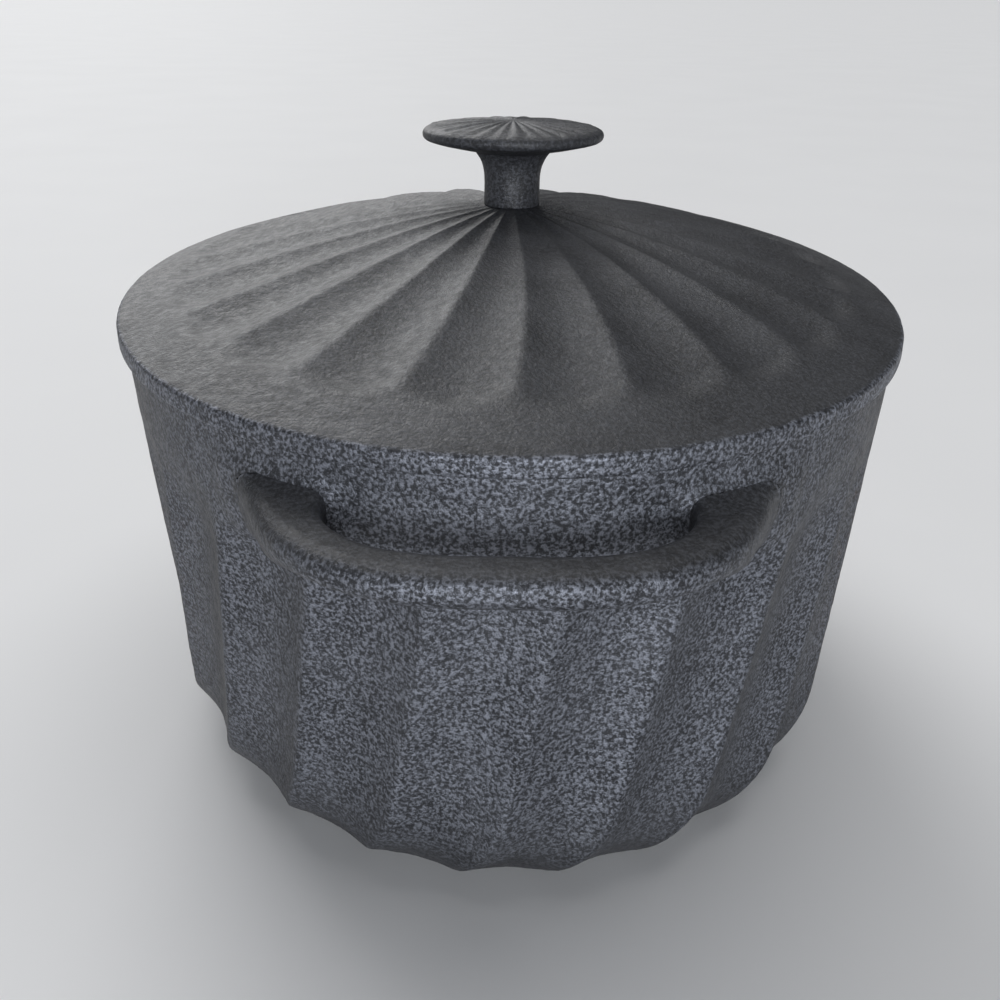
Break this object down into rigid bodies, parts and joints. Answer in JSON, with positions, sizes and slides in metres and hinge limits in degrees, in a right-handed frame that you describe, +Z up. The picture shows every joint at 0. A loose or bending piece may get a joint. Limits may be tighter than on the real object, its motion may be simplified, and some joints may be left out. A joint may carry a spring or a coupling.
{
  "type": "oval dutch oven",
  "caption": "Oval cast iron dutch oven with swirled hollow flutes, loop handles at both ends and a low domed lid with a mushroom knob.",
  "frame": {"origin": "on the table, under the middle of the pot", "axes": "+Z up, the long axis along Y with the pictured handle at -Y, +X to the right of the picture"},
  "size_m": [0.24, 0.3586, 0.1851],
  "materials": {
    "pot_iron": "bare black iron with a grainy sand-cast skin, worn bright on the front and with thin brown rust",
    "lid_iron": "bare black iron, fine grain, with a ground bright edge",
    "knob_iron": "bare black iron, fine radial grain, satin",
    "screw_steel": "plain steel, a little dull",
    "washer_steel": "plain steel, a little dull"
  },
  "bodies": {
    "pot": {"pot": "pot_iron", "front_handle": "pot_iron", "rear_handle": "pot_iron"},
    "lid": {"lid": "lid_iron", "knob": "knob_iron", "knob_screw": "screw_steel", "screw_washer": "washer_steel"}
  },
  "joints": [
    {"name": "lid_lift", "type": "slide", "parent": "pot", "child": "lid", "axis": [0, 0, 1], "range_m": [0, 0.15]}
  ]
}
